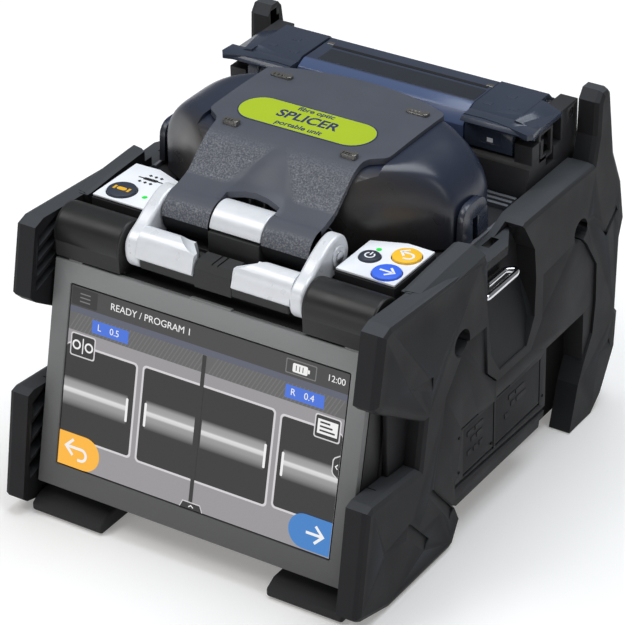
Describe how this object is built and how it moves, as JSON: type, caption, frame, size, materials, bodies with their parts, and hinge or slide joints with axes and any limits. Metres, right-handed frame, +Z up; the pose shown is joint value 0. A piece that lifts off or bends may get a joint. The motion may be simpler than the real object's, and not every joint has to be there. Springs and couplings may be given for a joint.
{
  "type": "fiber fusion splicer",
  "caption": "Handheld fibre fusion splicer with side bumpers, a tilting colour monitor, a hinged wind cover over the splice mechanism and a tube heater behind it.",
  "frame": {"origin": "on the table, under the middle of the machine's box", "axes": "+X to the operator's right, +Y to the back away from the operator, +Z up"},
  "size_m": [0.141, 0.177, 0.129],
  "materials": {
    "bumper_plastic": "fine-grained charcoal moulding with low sheen",
    "housing_plastic": "fine-grained dark grey moulding",
    "deck_plastic": "dark grey moulding",
    "hood_plastic": "satin grey-blue moulding with grained patches",
    "dome_plastic": "glossy dark navy",
    "silver_plastic": "satin silver",
    "steel": "brushed",
    "alloy": "machined",
    "ring_wire": "polished",
    "key_plate_plastic": "satin white",
    "blue_key_plastic": "satin blue",
    "yellow_key_plastic": "satin yellow",
    "dark_key_plastic": "satin slate",
    "screen": "glossy display window",
    "smoke_plastic": "translucent navy, glossy",
    "ceramic": "glazed ceramic",
    "circuit_board": "solder-mask green",
    "foot_rubber": "matt",
    "battery_plastic": "dark grey moulding"
  },
  "bodies": {
    "root": {"base_shell": "housing_plastic", "top_deck": "deck_plastic", "rear_panel": "housing_plastic", "main_board": "circuit_board", "dc_inlet": "steel", "splice_chassis": "alloy", "v_groove_block": "ceramic", "hinge_block": "housing_plastic", "hinge_knuckle": "silver_plastic", "hinge_pin": "steel", "heater_base": "deck_plastic", "heater_element": "alloy", "heater_hinge_pin": "steel", "electrode_front": "alloy", "electrode_rear": "alloy", "microscope_front": "alloy", "microscope_rear": "alloy", "bumper_left": "bumper_plastic", "bumper_right": "bumper_plastic", "side_panel_left": "bumper_plastic", "side_panel_right": "bumper_plastic", "front_foot_left": "foot_rubber", "front_foot_right": "foot_rubber", "rear_foot_left": "foot_rubber", "rear_foot_right": "foot_rubber", "keypad_housing_left": "deck_plastic", "keypad_housing_right": "deck_plastic", "key_plate_left": "key_plate_plastic", "key_plate_right": "key_plate_plastic"},
    "hood": {"hood_panel": "hood_plastic", "hood_shell": "dome_plastic", "fibre_guide_left": "dome_plastic", "fibre_guide_right": "dome_plastic", "fibre_presser": "housing_plastic"},
    "monitor_arm": {"monitor_arm": "silver_plastic", "arm_lower_cover": "housing_plastic", "monitor_pin_left": "steel", "monitor_pin_right": "steel"},
    "monitor": {"monitor_housing": "housing_plastic", "monitor_bezel": "housing_plastic", "lcd_screen": "screen"},
    "heater_lid": {"heater_lid": "smoke_plastic"},
    "heater_clamp_left": {"heater_clamp_left": "smoke_plastic"},
    "heater_clamp_right": {"heater_clamp_right": "smoke_plastic"},
    "fibre_stage_left": {"fibre_stage_left": "deck_plastic"},
    "fibre_stage_right": {"fibre_stage_right": "deck_plastic"},
    "coating_clamp_left": {"coating_clamp_left": "deck_plastic"},
    "coating_clamp_right": {"coating_clamp_right": "deck_plastic"},
    "battery": {"battery_pack": "battery_plastic"},
    "battery_latch": {"battery_latch": "foot_rubber"},
    "inlet_cover": {"inlet_cover": "bumper_plastic"},
    "output_cover": {"output_cover": "bumper_plastic"},
    "strap_ring_left": {"strap_ring_left": "ring_wire"},
    "strap_ring_right": {"strap_ring_right": "ring_wire"},
    "back_key": {"back_key": "yellow_key_plastic"},
    "next_key": {"next_key": "blue_key_plastic"},
    "power_key": {"power_key": "dark_key_plastic"},
    "heater_key": {"heater_key": "dark_key_plastic"}
  },
  "joints": [
    {"name": "hood_open", "type": "hinge", "parent": "root", "child": "hood", "pos_m": [0, -0.0408, 0.1062], "axis": [1, 0, 0], "range_deg": [0, 95]},
    {"name": "monitor_arm_tilt", "type": "hinge", "parent": "root", "child": "monitor_arm", "pos_m": [0, -0.0408, 0.1062], "axis": [1, 0, 0], "range_deg": [-90, 0]},
    {"name": "monitor_tilt", "type": "hinge", "parent": "monitor_arm", "child": "monitor", "pos_m": [0, -0.0555, 0.0975], "axis": [1, 0, 0], "range_deg": [-110, 0]},
    {"name": "heater_lid_open", "type": "hinge", "parent": "root", "child": "heater_lid", "pos_m": [0, 0.0655, 0.1175], "axis": [-1, 0, 0], "range_deg": [0, 95]},
    {"name": "heater_clamp_left_open", "type": "hinge", "parent": "root", "child": "heater_clamp_left", "pos_m": [-0.043, 0.0655, 0.1175], "axis": [-1, 0, 0], "range_deg": [0, 95]},
    {"name": "heater_clamp_right_open", "type": "hinge", "parent": "root", "child": "heater_clamp_right", "pos_m": [0.043, 0.0655, 0.1175], "axis": [-1, 0, 0], "range_deg": [0, 95]},
    {"name": "fibre_stage_left_feed", "type": "slide", "parent": "root", "child": "fibre_stage_left", "axis": [1, 0, 0], "range_m": [0, 0.003]},
    {"name": "fibre_stage_right_feed", "type": "slide", "parent": "root", "child": "fibre_stage_right", "axis": [-1, 0, 0], "range_m": [0, 0.003]},
    {"name": "coating_clamp_left_open", "type": "hinge", "parent": "fibre_stage_left", "child": "coating_clamp_left", "pos_m": [-0.034, 0.0094, 0.1045], "axis": [-1, 0, 0], "range_deg": [0, 85]},
    {"name": "coating_clamp_right_open", "type": "hinge", "parent": "fibre_stage_right", "child": "coating_clamp_right", "pos_m": [0.034, 0.0094, 0.1045], "axis": [-1, 0, 0], "range_deg": [0, 85]},
    {"name": "back_key_press", "type": "slide", "parent": "root", "child": "back_key", "axis": [0, 0, -1], "range_m": [0, 0.0006], "stiffness_N_per_m": 2000, "springref_m": -0.0003},
    {"name": "next_key_press", "type": "slide", "parent": "root", "child": "next_key", "axis": [0, 0, -1], "range_m": [0, 0.0006], "stiffness_N_per_m": 2000, "springref_m": -0.0003},
    {"name": "power_key_press", "type": "slide", "parent": "root", "child": "power_key", "axis": [0, 0, -1], "range_m": [0, 0.0006], "stiffness_N_per_m": 2000, "springref_m": -0.0003},
    {"name": "heater_key_press", "type": "slide", "parent": "root", "child": "heater_key", "axis": [0, 0, -1], "range_m": [0, 0.0006], "stiffness_N_per_m": 2000, "springref_m": -0.0003},
    {"name": "battery_slide", "type": "slide", "parent": "root", "child": "battery", "axis": [0, 1, 0], "range_m": [0, 0.086]},
    {"name": "battery_latch_slide", "type": "slide", "parent": "root", "child": "battery_latch", "axis": [0, 0, 1], "range_m": [0, 0.004], "stiffness_N_per_m": 200},
    {"name": "inlet_cover_open", "type": "hinge", "parent": "root", "child": "inlet_cover", "pos_m": [0.0685, 0.0152, 0.0246], "axis": [0, 1, 0], "range_deg": [0, 100]},
    {"name": "output_cover_open", "type": "hinge", "parent": "root", "child": "output_cover", "pos_m": [0.0685, -0.0111, 0.0246], "axis": [0, 1, 0], "range_deg": [0, 100]},
    {"name": "strap_ring_left_swing", "type": "hinge", "parent": "root", "child": "strap_ring_left", "pos_m": [-0.0652, 0.004, 0.084], "axis": [0, 1, 0], "range_deg": [-75, 75]},
    {"name": "strap_ring_right_swing", "type": "hinge", "parent": "root", "child": "strap_ring_right", "pos_m": [0.0652, 0.004, 0.084], "axis": [0, -1, 0], "range_deg": [-75, 75]}
  ]
}
